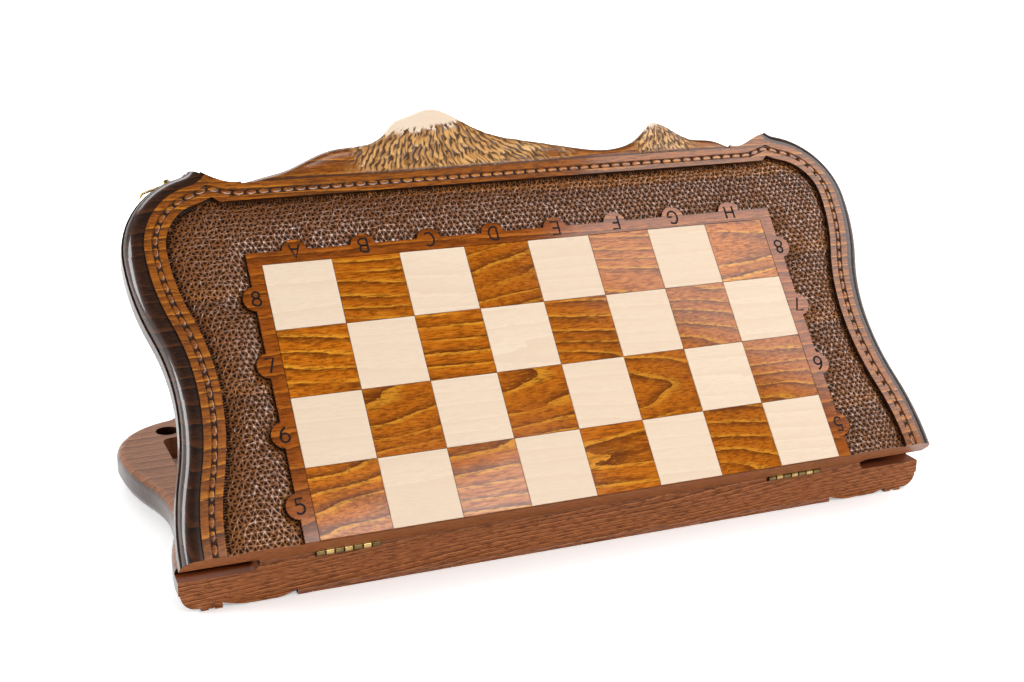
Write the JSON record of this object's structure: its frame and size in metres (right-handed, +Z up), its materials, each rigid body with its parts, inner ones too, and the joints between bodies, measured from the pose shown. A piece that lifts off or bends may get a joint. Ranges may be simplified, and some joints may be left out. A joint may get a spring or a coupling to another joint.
{
  "type": "folding chess and backgammon board",
  "caption": "Folding carved wooden games case: chess board outside, backgammon tray inside, wavy moulded sides, mountain crest, brass hinges and side hooks.",
  "frame": {"origin": "on the table, below the middle of the case as it stands half open", "axes": "+X along the spine, +Y from the spine to the lower leaf's crest, +Z up"},
  "size_m": [0.513, 0.2981, 0.2524],
  "materials": {
    "walnut_stained_wood": "satin varnish",
    "carved_crest_wood": "satin varnish, pale rubbed caps",
    "amber_stained_wood": "gloss varnish",
    "maple_veneer": "gloss varnish",
    "amber_veneer": "gloss varnish",
    "tray_floor_wood": "satin varnish",
    "pale_inlay": "satin varnish",
    "dark_inlay": "satin varnish",
    "brass": "polished, slightly tarnished"
  },
  "bodies": {
    "lower": {"lower_slab": "walnut_stained_wood", "lower_crest_carving": "carved_crest_wood", "lower_board_border": "amber_stained_wood", "lower_carved_ground": "walnut_stained_wood", "lower_light_squares": "maple_veneer", "lower_dark_squares": "amber_veneer", "lower_tray_floor": "tray_floor_wood", "lower_light_points": "pale_inlay", "lower_dark_points": "dark_inlay", "left_hinge_lower_plate": "brass", "left_hinge_lower_screws": "brass", "left_hinge_pin": "brass", "left_catch_stud": "brass", "right_hinge_lower_plate": "brass", "right_hinge_lower_screws": "brass", "right_hinge_pin": "brass", "right_catch_stud": "brass"},
    "upper": {"upper_slab": "walnut_stained_wood", "upper_crest_carving": "carved_crest_wood", "upper_board_border": "amber_stained_wood", "upper_carved_ground": "walnut_stained_wood", "upper_light_squares": "maple_veneer", "upper_dark_squares": "amber_veneer", "upper_tray_floor": "tray_floor_wood", "upper_light_points": "pale_inlay", "upper_dark_points": "dark_inlay", "left_hinge_upper_plate": "brass", "left_hinge_upper_screws": "brass", "left_hook_screw": "brass", "left_hook_washer": "brass", "right_hinge_upper_plate": "brass", "right_hinge_upper_screws": "brass", "right_hook_screw": "brass", "right_hook_washer": "brass"},
    "left_hook": {"left_hook": "brass"},
    "right_hook": {"right_hook": "brass"}
  },
  "joints": [
    {"name": "fold", "type": "hinge", "parent": "lower", "child": "upper", "pos_m": [0, -0.13016, 0.02515], "axis": [1, 0, 0], "range_deg": [-49, 131]},
    {"name": "left_hook_swing", "type": "hinge", "parent": "upper", "child": "left_hook", "pos_m": [-0.21946, 0.02418, 0.21436], "axis": [-0.342, 0.6165, 0.7092], "range_deg": [-95, 55]},
    {"name": "right_hook_swing", "type": "hinge", "parent": "upper", "child": "right_hook", "pos_m": [0.21946, 0.02418, 0.21436], "axis": [-0.342, -0.6165, -0.7092], "range_deg": [-25, 125]}
  ]
}
